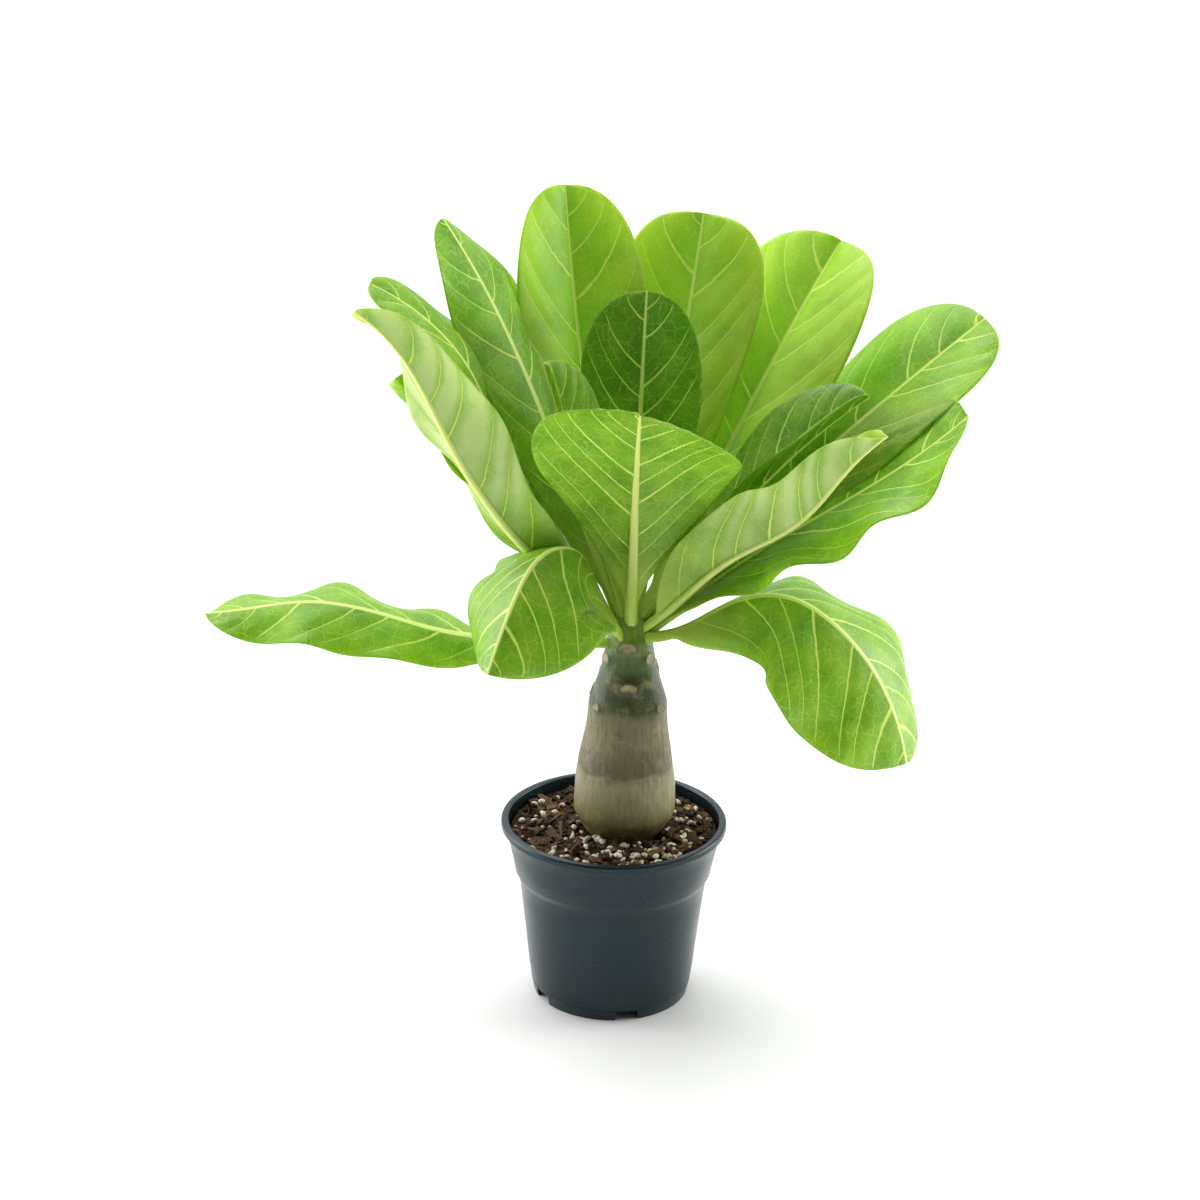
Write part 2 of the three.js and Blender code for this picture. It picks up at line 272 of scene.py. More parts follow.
def turned(profile, steps):
    """A shell turned about +Z: one point extruded along [radius, height] points, then spun round."""
    bpy.ops.object.select_all(action="DESELECT")
    bpy.ops.mesh.primitive_plane_add(size=MM)
    obj = bpy.context.object
    bpy.ops.object.mode_set(mode="EDIT")
    bpy.ops.mesh.merge(type="CENTER")
    bpy.ops.transform.translate(value=(profile[0][0] * MM, 0, profile[0][1] * MM))
    for (radius, height), (next_radius, next_height) in zip(profile, profile[1:]):
        step = ((next_radius - radius) * MM, 0, (next_height - height) * MM)
        bpy.ops.mesh.extrude_vertices_move(TRANSFORM_OT_translate={"value": step})
    bpy.ops.mesh.select_all(action="SELECT")
    bpy.ops.mesh.spin(steps=steps, angle=2 * math.pi, center=(0, 0, 0), axis=(0, 0, 1))
    bpy.ops.mesh.select_all(action="SELECT")
    bpy.ops.mesh.remove_doubles(threshold=0.02 * MM)
    bpy.ops.mesh.normals_make_consistent(inside=False)
    bpy.ops.object.mode_set(mode="OBJECT")
    return obj


def along(values, share):
    """A smooth curve through values at even steps, read at each share of the way along."""
    values = np.asarray(values, dtype=float)
    if len(values) == 1:
        return np.full_like(share, values[0])
    place = np.clip(share, 0, 1) * (len(values) - 1)
    first = np.minimum(place.astype(int), len(values) - 2)
    between = place - first
    padded = np.concatenate([[2 * values[0] - values[1]], values, [2 * values[-1] - values[-2]]])
    before, start, end, after = (padded[first + i] for i in range(4))
    slope = end - before
    bend = 2 * before - 5 * start + 4 * end - after
    twist = 3 * start - before - 3 * end + after
    return start + 0.5 * between * (slope + between * (bend + between * twist))


def smooth(low, high, value):
    """0 below low, 1 above high, and a smooth step between."""
    t = np.clip((value - low) / (high - low), 0, 1)
    return t * t * (3 - 2 * t)


# ---- camera, floor and light ----

CAMERA_HEIGHT = 930.6
CAMERA_DISTANCE = 1719.8
CAMERA_SIDE = -10.4
CAMERA_PITCH = 21.8
CAMERA_ROLL = 1.1
CAMERA_LENS = 99.0

# Each light's place is in metres and its power in watts; the overhead one shines from a direction.
OVERHEAD_FROM = (-0.25, 0.55, 1.0)
OVERHEAD_STRENGTH = 1.7
OVERHEAD_SPREAD = 50
SIDE_LIGHT_AT = (1.1, 0.25, 0.45)
SIDE_LIGHT_AIM = (0, 0, 0.2)
SIDE_LIGHT_SIZE = 0.8
SIDE_LIGHT_POWER = 9
FLOOR_SIZE = 16


def make_camera():
    data = bpy.data.cameras.new("camera")
    data.lens = CAMERA_LENS
    data.sensor_width = 36
    data.clip_end = 50
    camera = bpy.data.objects.new("camera", data)
    bpy.context.collection.objects.link(camera)
    tilt = Matrix.Rotation(math.radians(90 - CAMERA_PITCH), 4, "X")
    roll = Matrix.Rotation(math.radians(CAMERA_ROLL), 4, "Z")
    place = Matrix.Translation(Vector((CAMERA_SIDE, -CAMERA_DISTANCE, CAMERA_HEIGHT)) * MM)
    camera.matrix_world = place @ tilt @ roll
    bpy.context.scene.camera = camera


def make_light(name, place, target, size, power):
    data = bpy.data.lights.new(name, "AREA")
    data.shape = "DISK"
    data.size = size
    data.energy = power
    lamp = bpy.data.objects.new(name, data)
    bpy.context.collection.objects.link(lamp)
    lamp.location = place
    lamp.rotation_euler = (Vector(target) - Vector(place)).to_track_quat("-Z", "Y").to_euler()


def make_surround():
    """White walls behind and beside the plant, and an unlit room on the viewer's side."""
    world = bpy.data.worlds.new("studio")
    world.use_nodes = True
    tree = world.node_tree
    direction = add(tree, "ShaderNodeTexCoord", out="Generated")
    depth = add(tree, "ShaderNodeSeparateXYZ", {"Vector": direction}, out="Y")
    wall = add(tree, "ShaderNodeMapRange", {0: depth, 1: -0.85, 2: 0.0, 3: 0.03, 4: 1.02},
               interpolation_type="SMOOTHSTEP")
    tree.links.new(wall, tree.nodes["Background"].inputs["Strength"])
    tree.nodes["Background"].inputs["Color"].default_value = (1, 1, 1, 1)
    bpy.context.scene.world = world


def make_studio():
    bpy.ops.object.select_all(action="DESELECT")
    bpy.ops.mesh.primitive_plane_add(size=FLOOR_SIZE)
    floor = bpy.context.object
    floor.name = "studio_floor"
    material, tree = new_material("white_paper_sweep")
    grain = add(tree, "ShaderNodeTexNoise",
                {"Vector": add(tree, "ShaderNodeTexCoord", out="Object"), "Scale": 900})
    bump = add(tree, "ShaderNodeBump", {"Height": grain, "Strength": 0.05, "Distance": 0.0002})
    shade(tree, linear("#f4f4f4"), 0.9, bump, Specular_IOR_Level=0.1)
    floor.data.materials.append(material)
    make_surround()
    sun = bpy.data.lights.new("overhead_softbox", "SUN")
    sun.energy = OVERHEAD_STRENGTH
    sun.angle = math.radians(OVERHEAD_SPREAD)
    overhead = bpy.data.objects.new("overhead_softbox", sun)
    bpy.context.collection.objects.link(overhead)
    overhead.rotation_euler = Vector(OVERHEAD_FROM).to_track_quat("Z", "Y").to_euler()
    x, y, z = SIDE_LIGHT_AT
    make_light("left_softbox", (-x, y, z), SIDE_LIGHT_AIM, SIDE_LIGHT_SIZE, SIDE_LIGHT_POWER)
    make_light("right_softbox", (x, y, z), SIDE_LIGHT_AIM, SIDE_LIGHT_SIZE, SIDE_LIGHT_POWER)
    bpy.context.scene.view_settings.view_transform = "Standard"


# ---- pot: polypropylene, injection moulded ----

def pot_material():
    # Moulded PP: an even satin skin with a faint orange peel, a few scuffs and a trace of lime.
    material, tree = new_material("polypropylene_injection_moulded")
    place = add(tree, "ShaderNodeTexCoord", out="Object")
    peel = add(tree, "ShaderNodeTexNoise", {"Vector": place, "Scale": 700, "Detail": 3})
    blotch = add(tree, "ShaderNodeTexNoise", {"Vector": place, "Scale": 28, "Detail": 5, "Roughness": 0.6})
    stretched = add(tree, "ShaderNodeMapping", {"Vector": place, "Scale": (1, 1, 9)})
    scuffs = add(tree, "ShaderNodeTexNoise",
                 {"Vector": stretched, "Scale": 60, "Detail": 8, "Roughness": 0.7})
    scuffed = add(tree, "ShaderNodeMapRange", {0: scuffs, 1: 0.62, 2: 0.78, 3: 0.0, 4: 0.5})
    base = add(tree, "ShaderNodeMix", {0: blotch, 6: linear("#081318"), 7: linear("#0e1b21")},
               data_type="RGBA")
    dusty = add(tree, "ShaderNodeMix", {0: scuffed, 6: base, 7: linear("#465154")}, data_type="RGBA")
    rough = add(tree, "ShaderNodeMapRange", {0: blotch, 1: 0.3, 2: 0.7, 3: 0.24, 4: 0.36})
    bump = add(tree, "ShaderNodeBump", {"Height": peel, "Strength": 0.12, "Distance": 0.0002})
    shade(tree, dusty, rough, bump, IOR=1.49, Specular_Tint=linear("#d8f4ff"))
    return material


def make_pot():
    p = POT
    top = POT_TOP
    lip_inner = p["band_top"] - p["wall"]
    channel_top = p["channel_height"] + p["wall"]
    lip_bottom = top - p["lip_height"]
    roll = [
        (POT_RADIUS - 1.6 + 1.6 * math.cos(a), top - 1.6 + 1.6 * math.sin(a))
        for a in (math.radians(15 * i) for i in range(7))
    ]
    inner_roll = [
        (lip_inner + 1.2 - 1.2 * math.sin(a), top - 1.2 + 1.2 * math.cos(a))
        for a in (math.radians(18 * i) for i in range(6))
    ]
    profile = [
        (0, 0), (p["disc"] - 0.5, 0), (p["disc"], 0.3), (p["channel_inner"], p["channel_height"]),
        (p["channel_outer"], p["channel_height"]), (p["foot"] - p["wall"], 0.3),
        (p["foot"] - p["wall"] + 0.3, 0),
        (p["foot"] - 0.3, 0), (p["foot"], 0.4), (46.3, 6.6), (46.15, 6.9), (46.15, 7.5), (46.55, 7.8),
        (48.2, 20), (50.6, 42), (53.2, 64), (p["wall_top"] - 0.1, p["step_height"] - 0.8),
        (p["wall_top"] + 0.3, p["step_height"]), (p["band_bottom"] - 0.5, p["band_bottom_height"] - 0.5),
        (p["band_bottom"], p["band_bottom_height"] + 0.3), (58.2, 85), (60.2, 94),
        (p["band_top"], lip_bottom - 0.4), (p["band_top"] + 0.3, lip_bottom), (POT_RADIUS - 0.7, lip_bottom),
        (POT_RADIUS, lip_bottom + 0.7), *roll, *inner_roll,
        (60.0, 100), (56.9, 85), (p["band_bottom"] - p["wall"], p["band_bottom_height"]),
        (p["wall_top"] - p["wall"], p["step_height"]), (p["foot"] - p["wall"] + 0.6, channel_top),
        (p["channel_inner"] - 1, channel_top), (p["disc"] - 1, p["wall"]), (0, p["wall"]),
    ]
    pot = turned(profile, POT_STEPS)
    for i in range(p["drains"]):
        angle = math.radians(p["first_drain"] + i * 360 / p["drains"])
        ray = Vector((math.cos(angle), math.sin(angle), 0))
        hole_centre = ray * (p["channel_inner"] + p["channel_outer"]) / 2 * MM
        hole_centre += Vector((0, 0, 0.006))
        bpy.ops.object.select_all(action="DESELECT")
        bpy.ops.mesh.primitive_cylinder_add(
            vertices=32, radius=p["drain_radius"] * MM, depth=24 * MM, location=hole_centre)
        cut_away(pot, bpy.context.object)
        bpy.ops.object.select_all(action="DESELECT")
        bpy.ops.mesh.primitive_cube_add(size=1, location=ray * p["foot"] * MM, rotation=(0, 0, angle))
        notch = bpy.context.object
        notch.scale = (8 * MM, p["notch_width"] * MM, 2 * p["channel_height"] * MM)
        cut_away(pot, notch)
    only(pot)
    bpy.ops.object.shade_smooth_by_angle(angle=math.radians(35))
    finish_piece(pot, "nursery_pot", [pot_material()])
    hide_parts("pot")


def cut_away(body, cutter):
    """Cuts one solid out of another and throws the cutter away."""
    only(cutter)
    bpy.ops.object.transform_apply(location=True, rotation=True, scale=True)
    apply_modifier(body, "BOOLEAN", operation="DIFFERENCE", object=cutter, solver="EXACT")
    bpy.data.objects.remove(cutter)


# ---- stem: living bark, grown ----

def lean(points):
    """Moves points in millimetres over to the stem's own leaning middle line."""
    up = np.maximum((points[:, 2] - STEM_FOOT[2]) / (CROWN[2] - STEM_FOOT[2]), 0)
    points[:, 0] += STEM_FOOT[0] + (CROWN[0] - STEM_FOOT[0]) * up
    points[:, 1] += STEM_FOOT[1] + (CROWN[1] - STEM_FOOT[1]) * up
    return points


def stem_radius(heights):
    known = np.array(STEM_OUTLINE, dtype=float)
    blurred = np.zeros_like(heights)
    for shift in (-1.5, -0.75, 0, 0.75, 1.5):
        blurred += np.interp(heights + shift, known[:, 0], known[:, 1]) / 5
    return blurred


def make_stem():
    heights = np.arange(58, 234.5, 1.1)
    radii = stem_radius(heights)
    profile = [(0, 54)] + list(zip(radii, heights)) + [(3, 235.2), (0, 235.5)]
    stem = turned(profile, STEM_STEPS)
    mesh = stem.data
    points = points_of(mesh) / MM
    radius = np.hypot(points[:, 0], points[:, 1])
    angle = np.degrees(np.arctan2(points[:, 1], points[:, 0]))
    height = points[:, 2]
    swell = np.zeros(len(points))
    scar = np.zeros(len(points))
    scar_rim = np.zeros(len(points))
    for at, level, half_width, half_height in LEAF_SCARS:
        turn = (angle - at + 180) % 360 - 180
        side = np.radians(turn) * np.maximum(radius, 1)
        rise = height - level + 0.04 * side ** 2
        reach = np.hypot(side / half_width, rise / half_height)
        reach = np.where(np.abs(turn) < 90, reach, 9)
        scar = np.maximum(scar, 1 - smooth(0.75, 1.0, reach))
        scar_rim = np.maximum(scar_rim, np.exp(-((reach - 1.08) / 0.16) ** 2))
        swell += 0.9 * np.exp(-(reach / 1.5) ** 2) + 0.55 * np.exp(-((reach - 1.1) / 0.18) ** 2)
        swell -= 0.5 * (1 - smooth(0.6, 0.95, reach))
    wrinkle = np.empty(len(points))
    lump = np.empty(len(points))
    for i, (x, y, z) in enumerate(points):
        lump[i] = noise.noise(Vector((x, y, z * 0.8)) * 0.05)
        wrinkle[i] = noise.noise(Vector((x * 0.55, y * 0.55, z * 0.12)))
    wrinkled = smooth(104, 118, height) * (1 - smooth(168, 186, height))
    swell += 0.7 * lump + 0.28 * wrinkle * wrinkled
    swell -= 0.35 * np.exp(-((height - 142 - 1.5 * lump) / 1.0) ** 2)
    outward = points[:, :2] / np.maximum(radius, 0.001)[:, None]
    fade = smooth(0.5, 4, radius)
    points[:, :2] += outward * (swell * fade)[:, None]
    move_points(mesh, lean(points) * MM)
    store(mesh, "scar", scar)
    store(mesh, "scar_rim", scar_rim)
    only(stem)
    bpy.ops.object.shade_smooth()
    finish_piece(stem, "swollen_stem", [stem_material()])
    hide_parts("stem")


def stem_material():
    # Living bark: waxy and green at the young top, grey-tan and finely creased below, olive at the soil.
    material, tree = new_material("succulent_bark_grown")
    place = add(tree, "ShaderNodeTexCoord", out="Object")
    drift = add(tree, "ShaderNodeTexNoise", {"Vector": place, "Scale": 45, "Detail": 4})
    height_up = add(tree, "ShaderNodeSeparateXYZ", {"Vector": place}, out="Z")
    wander = add(tree, "ShaderNodeMapRange", {0: drift, 1: 0.3, 2: 0.7, 3: -0.004, 4: 0.004})
    level = add(tree, "ShaderNodeMath", {0: height_up, 1: wander}, operation="ADD")
    share = add(tree, "ShaderNodeMapRange", {0: level, 1: 0.100, 2: 0.236, 3: 0.0, 4: 1.0})
    ramp = add(tree, "ShaderNodeValToRGB", {"Fac": share})
    bands = [
        (101, "#4a4418"), (109, "#635b2c"), (118, "#7d7548"), (136, "#8d8662"), (141, "#847c58"),
        (144, "#625836"), (152, "#665c3a"), (164, "#7a7150"), (176, "#706a46"), (181, "#4a4f2a"),
        (187, "#343f16"), (200, "#384714"), (212, "#4d641a"), (232, "#7c9a32"),
    ]
    stops = ramp.node.color_ramp.elements
    while len(stops) < len(bands):
        stops.new(0.5)
    for stop, (millimetres, _) in zip(stops, bands):
        stop.position = (millimetres - 100) / 136
    for stop, (_, colour) in zip(sorted(stops, key=lambda s: s.position), bands):
        stop.color = linear(colour)
    upright = add(tree, "ShaderNodeMapping", {"Vector": place, "Scale": (1, 1, 0.14)})
    streaks = add(tree, "ShaderNodeTexNoise",
                  {"Vector": upright, "Scale": 420, "Detail": 6, "Roughness": 0.62})
    streaked = add(tree, "ShaderNodeMapRange", {0: streaks, 1: 0.35, 2: 0.68, 3: 0.8, 4: 1.12})
    grained = add(tree, "ShaderNodeVectorMath", {0: ramp, "Scale": streaked}, operation="SCALE")
    blotch = add(tree, "ShaderNodeTexNoise",
                 {"Vector": place, "Scale": 110, "Detail": 5, "Roughness": 0.65})
    pale = add(tree, "ShaderNodeMapRange", {0: blotch, 1: 0.52, 2: 0.7, 3: 0.0, 4: 0.45})
    weathered = add(tree, "ShaderNodeMix", {0: pale, 6: grained, 7: linear("#a39a74")}, data_type="RGBA")
    specks = add(tree, "ShaderNodeTexVoronoi", {"Vector": place, "Scale": 330})
    speck = add(tree, "ShaderNodeMapRange", {0: specks, 1: 0.10, 2: 0.16, 3: 0.6, 4: 0.0})
    speckled = add(tree, "ShaderNodeMix", {0: speck, 6: weathered, 7: linear("#4b4330")}, data_type="RGBA")
    scar = add(tree, "ShaderNodeAttribute", out="Fac", attribute_name="scar")
    rim = add(tree, "ShaderNodeAttribute", out="Fac", attribute_name="scar_rim")
    rimmed = add(tree, "ShaderNodeMath", {0: rim, 1: 0.6}, operation="MULTIPLY")
    edged = add(tree, "ShaderNodeMix", {0: rimmed, 6: speckled, 7: linear("#5f5a3c")}, data_type="RGBA")
    cork = add(tree, "ShaderNodeMix", {0: blotch, 6: linear("#6e5c34"), 7: linear("#c6b98e")},
               data_type="RGBA")
    broken = add(tree, "ShaderNodeMapRange", {0: blotch, 1: 0.38, 2: 0.56, 3: 0.25, 4: 1.0})
    showing = add(tree, "ShaderNodeMath", {0: scar, 1: broken}, operation="MULTIPLY")
    scarred = add(tree, "ShaderNodeMix", {0: showing, 6: edged, 7: cork}, data_type="RGBA")
    height = add(tree, "ShaderNodeMath", {0: streaks, 1: blotch}, operation="ADD")
    bump = add(tree, "ShaderNodeBump", {"Height": height, "Strength": 0.5, "Distance": 0.0006})
    rough = add(tree, "ShaderNodeMapRange", {0: level, 1: 0.17, 2: 0.2, 3: 0.5, 4: 0.36})
    shade(tree, scarred, rough, bump, IOR=1.45)
    return material


# ---- soil: peat and bark, with perlite ----

def soil_height(x, y):
    """How far the loose surface stands above or below its mean level at a place, in millimetres."""
    coarse = noise.noise(Vector((x, y, 3.0)) * 0.07)
    middle = noise.noise(Vector((x, y, 9.0)) * 0.19)
    fine = noise.noise(Vector((x, y, 5.0)) * 0.45)
    return 2.6 * coarse + 1.9 * middle + 0.9 * fine


def peat_material():
    # Damp peat: near black in the hollows and red-brown on the crumbs that have dried.
    material, tree = new_material("peat_compost_loose")
    place = add(tree, "ShaderNodeTexCoord", out="Object")
    coarse = add(tree, "ShaderNodeTexNoise", {"Vector": place, "Scale": 160, "Detail": 8, "Roughness": 0.7})
    fine = add(tree, "ShaderNodeTexNoise", {"Vector": place, "Scale": 900, "Detail": 6, "Roughness": 0.7})
    ramp = add(tree, "ShaderNodeValToRGB", {"Fac": coarse})
    ramp.node.color_ramp.elements[0].position = 0.36
    ramp.node.color_ramp.elements[0].color = linear("#150b07")
    ramp.node.color_ramp.elements[1].position = 0.68
    ramp.node.color_ramp.elements[1].color = linear("#5d3b26")
    middle = ramp.node.color_ramp.elements.new(0.52)
    middle.color = linear("#331c11")
    both = add(tree, "ShaderNodeMath", {0: coarse, 1: fine}, operation="ADD")
    bump = add(tree, "ShaderNodeBump", {"Height": both, "Strength": 0.9, "Distance": 0.0012})
    shade(tree, ramp, 0.85, bump, IOR=1.4)
    return material


def crumb_material(name, dark, light, grain_mm):
    """Bark, peat or fibre: two browns in streaks of a given grain."""
    material, tree = new_material(name)
    place = add(tree, "ShaderNodeTexCoord", out="Object")
    streaks = add(tree, "ShaderNodeTexNoise",
                  {"Vector": place, "Scale": 1000 / grain_mm / 3, "Detail": 6, "Roughness": 0.7})
    patches = add(tree, "ShaderNodeTexNoise", {"Vector": place, "Scale": 75, "Detail": 2})
    mixed = add(tree, "ShaderNodeMath", {0: streaks, 1: patches}, operation="MULTIPLY")
    share = add(tree, "ShaderNodeMapRange", {0: mixed, 1: 0.14, 2: 0.38, 3: 0.0, 4: 1.0})
    colour = add(tree, "ShaderNodeMix", {0: share, 6: linear(dark), 7: linear(light)}, data_type="RGBA")
    bump = add(tree, "ShaderNodeBump", {"Height": streaks, "Strength": 0.8, "Distance": 0.0006})
    shade(tree, colour, 0.8, bump, IOR=1.45)
    return material


def perlite_material():
    # Expanded perlite: chalky cream grains, pitted, and stained by the wet peat.
    material, tree = new_material("perlite_expanded")
    place = add(tree, "ShaderNodeTexCoord", out="Object")
    pits = add(tree, "ShaderNodeTexVoronoi", {"Vector": place, "Scale": 1500})
    stain = add(tree, "ShaderNodeTexNoise", {"Vector": place, "Scale": 170, "Detail": 4})
    share = add(tree, "ShaderNodeMapRange", {0: stain, 1: 0.35, 2: 0.62, 3: 0.0, 4: 1.0})
    colour = add(tree, "ShaderNodeMix", {0: share, 6: linear("#c2b08f"), 7: linear("#f8eedc")},
                 data_type="RGBA")
    bump = add(tree, "ShaderNodeBump", {"Height": pits, "Strength": 0.5, "Distance": 0.0004})
    shade(tree, colour, 0.75, bump, IOR=1.5)
    return material


def make_soil():
    p = POT
    inside = p["wall"] + 0.3
    channel_top = p["channel_height"] + inside
    rings = np.linspace(59.2, 24, 34)
    profile = [
        (0, inside), (p["disc"] - 1.3, inside), (p["channel_inner"] - 1.3, channel_top),
        (p["foot"] - inside, channel_top), (p["wall_top"] - inside, p["step_height"]),
        (p["band_bottom"] - inside, p["band_bottom_height"] + 0.6), (58.9, SOIL_TOP - 3),
        *[(radius, SOIL_TOP) for radius in rings],
        (22.6, 100.5), (22.4, 98), (18.5, 88), (12.5, 72), (0, 53),
    ]
    soil = turned(profile, SOIL_STEPS)
    mesh = soil.data
    points = points_of(mesh) / MM
    radius = np.hypot(points[:, 0], points[:, 1])
    pocket = 1 - smooth(24, 50, radius)
    pocket = np.where(points[:, 2] > 50, pocket, 0)
    points[:, 0] += STEM_FOOT[0] * pocket
    points[:, 1] += STEM_FOOT[1] * pocket
    on_top = points[:, 2] > SOIL_TOP - 0.6
    for i in np.nonzero(on_top)[0]:
        edge = 1 - 0.8 * smooth(54, 59, radius[i])
        points[i, 2] += edge * soil_height(points[i, 0], points[i, 1])
    move_points(mesh, points * MM)
    only(soil)
    bpy.ops.object.shade_smooth()
    finish_piece(soil, "peat_compost", [peat_material()])
    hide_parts("soil")


def rough_lump(kind, size, seed):
    """One crumb to copy: a small primitive knocked out of shape."""
    rng = random.Random(seed)
    bpy.ops.object.select_all(action="DESELECT")
    if kind == "chip":
        bpy.ops.mesh.primitive_cube_add(size=1)
        obj = bpy.context.object
        bpy.ops.object.mode_set(mode="EDIT")
        bpy.ops.mesh.subdivide(number_cuts=2)
        bpy.ops.object.mode_set(mode="OBJECT")
    else:
        bpy.ops.mesh.primitive_ico_sphere_add(subdivisions=2, radius=0.5)
        obj = bpy.context.object
    points = points_of(obj.data)
    for i, point in enumerate(points):
        shift = noise.noise_vector(Vector(point) * 2.2 + Vector((seed * 3.1, 0, 0)))
        points[i] += np.array(shift) * (0.22 if kind == "chip" else 0.12)
    scale = np.array(size) * [rng.uniform(0.85, 1.15) for _ in range(3)]
    move_points(obj.data, points * scale * MM)
    only(obj)
    if kind == "perlite":
        bpy.ops.object.shade_smooth()
    else:
        bpy.ops.object.shade_smooth_by_angle(angle=math.radians(40))
    return obj


def rough_lumps(kind, sizes):
    return [rough_lump(kind, size, seed) for seed, size in enumerate(sizes)]


def fibre(seed):
    """One root fibre to copy: a thin bent rod."""
    rng = random.Random(seed)
    bpy.ops.object.select_all(action="DESELECT")
    bpy.ops.mesh.primitive_cylinder_add(vertices=6, radius=0.28 * MM, depth=1 * MM, end_fill_type="TRIFAN")
    obj = bpy.context.object
    bpy.ops.object.mode_set(mode="EDIT")
    bpy.ops.mesh.select_all(action="SELECT")
    bpy.ops.mesh.subdivide(number_cuts=6)
    bpy.ops.object.mode_set(mode="OBJECT")
    points = points_of(obj.data) / MM
    reach = points[:, 2].copy()
    length = rng.uniform(9, 17)
    taper = 1 - 1.1 * np.abs(reach)
    bow = rng.uniform(0.15, 0.4) * length
    bowed = points[:, 0] * taper + bow * (1 - 4 * reach ** 2) / 2
    shaped = np.stack([reach * length, bowed, points[:, 1] * taper], axis=1)
    move_points(obj.data, shaped * MM)
    only(obj)
    bpy.ops.object.shade_smooth()
    return obj


def scatter(name, originals, count, material, rise, tilt, size_range, seed, densest=None):
    """Copies crumbs over the soil at random places, and joins them in one piece."""
    rng = random.Random(seed)
    copies = []
    while len(copies) < count:
        radius = CRUMB_RADIUS * math.sqrt(rng.random())
        turn = rng.uniform(0, 2 * math.pi)
        x, y = radius * math.cos(turn), radius * math.sin(turn)
        from_stem = math.hypot(x - STEM_FOOT[0], y - STEM_FOOT[1])
        if from_stem < CLEAR_OF_STEM:
            continue
        if densest is not None:
            away = math.degrees(abs(math.remainder(turn - math.radians(densest), 2 * math.pi)))
            if rng.random() > 1.0 - 0.75 * min(away / 110, 1):
                continue
        size = rng.uniform(*size_range)
        copy = rng.choice(originals).copy()
        copy.data = copy.data.copy()
        bpy.context.collection.objects.link(copy)
        spin = Matrix.Rotation(rng.uniform(0, 2 * math.pi), 4, "Z")
        lean_over = Matrix.Rotation(rng.gauss(0, tilt), 4, "X") @ Matrix.Rotation(rng.gauss(0, tilt), 4, "Y")
        level = SOIL_TOP + soil_height(x, y) + rise * size
        reach = max(copy.dimensions.x, copy.dimensions.y) / 2 / MM * size
        shrink = min(1.0, (SOIL_RADIUS - radius) / max(reach, 0.1) + 0.15)
        place = Matrix.Translation(Vector((x, y, level)) * MM)
        copy.data.transform(place @ spin @ lean_over @ Matrix.Scale(size * max(shrink, 0.35), 4))
        copies.append(copy)
    for original in originals:
        bpy.data.objects.remove(original)
    bpy.ops.object.select_all(action="DESELECT")
    for copy in copies:
        copy.select_set(True)
    bpy.context.view_layer.objects.active = copies[0]
    bpy.ops.object.join()
    finish_piece(bpy.context.object, name, [material])


def make_crumbs():
    chips = rough_lumps("chip", [(9, 4, 2.4), (6, 4.5, 2.2), (11, 3, 2.2), (5, 5, 3)])
    scatter("bark_chips", chips, 230, crumb_material("pine_bark_chipped", "#1b0d07", "#7a5335", 1.0),
            0.4, 0.45, (0.5, 1.15), 11)
    crumbs = rough_lumps("crumb", [(3.4, 3, 2.4), (2.4, 2.2, 2), (4.4, 3.4, 2.6)])
    scatter("peat_crumbs", crumbs, 620, crumb_material("peat_crumbled", "#1d0f09", "#5a3823", 0.8),
            0.5, 0.8, (0.5, 1.3), 23)
    grains = rough_lumps("perlite", [(3.2, 2.6, 2.2), (2.6, 2.2, 2), (4.2, 2.6, 2.2)])
    scatter("perlite_grains", grains, 230, perlite_material(), 1.2, 0.7, (0.55, 1.35), 37, densest=-65)
    fibres = [fibre(i) for i in range(4)]
    scatter("root_fibres", fibres, 60, crumb_material("coir_fibre_shredded", "#6b4a30", "#b08a62", 0.6),
            1.6, 0.25, (0.6, 1.1), 53)


# ---- leaves ----

def half_width(leaf, share):
    """Half the blade's width: a bare stalk, then a blunt spoon."""
    widen, blunt = leaf.get("shape", (1.1, 0.45))
    blade = np.clip((share - STALK_PART) / (1 - STALK_PART), 0, 1)
    widest = widen / (widen + blunt)
    peak = widest ** widen * (1 - widest) ** blunt
    spoon = leaf["width"] / 2 * blade ** widen * (1 - blade) ** blunt / peak
    stalk = STALK_HALF_WIDTH * np.sqrt(1 - share)
    return np.sqrt(spoon ** 2 + stalk ** 2 + (TIP_HALF_WIDTH * share) ** 2)


def midrib(leaf, share):
    """The midrib's place and the directions left and up there, at each share of the leaf's length."""
    steps = 400
    walk = (np.arange(steps) + 0.5) / steps
    heading, rise = np.radians(along(leaf["heading"], walk)), np.radians(along(leaf["rise"], walk))
    pace = np.stack([np.cos(rise) * np.cos(heading), np.cos(rise) * np.sin(heading), np.sin(rise)], axis=1)
    turn = math.radians(leaf["at"][0])
    from_crown = leaf["at"][2]
    start = np.array([
        CROWN[0] + from_crown * math.cos(turn), CROWN[1] + from_crown * math.sin(turn), leaf["at"][1]
    ])
    path = np.vstack([start, start + np.cumsum(pace, axis=0) * leaf["length"] / steps])
    place = np.stack([np.interp(share, np.linspace(0, 1, steps + 1), path[:, i]) for i in range(3)], axis=1)
    heading, rise = np.radians(along(leaf["heading"], share)), np.radians(along(leaf["rise"], share))
    roll = np.radians(along(leaf.get("roll", (0,)), share))[:, None]
    ahead = np.stack([np.cos(rise) * np.cos(heading), np.cos(rise) * np.sin(heading), np.sin(rise)], axis=1)
    level_left = np.stack([-np.sin(heading), np.cos(heading), 0 * heading], axis=1)
    level_up = np.cross(ahead, level_left)
    left = level_left * np.cos(roll) + level_up * np.sin(roll)
    return place, left, np.cross(ahead, left)


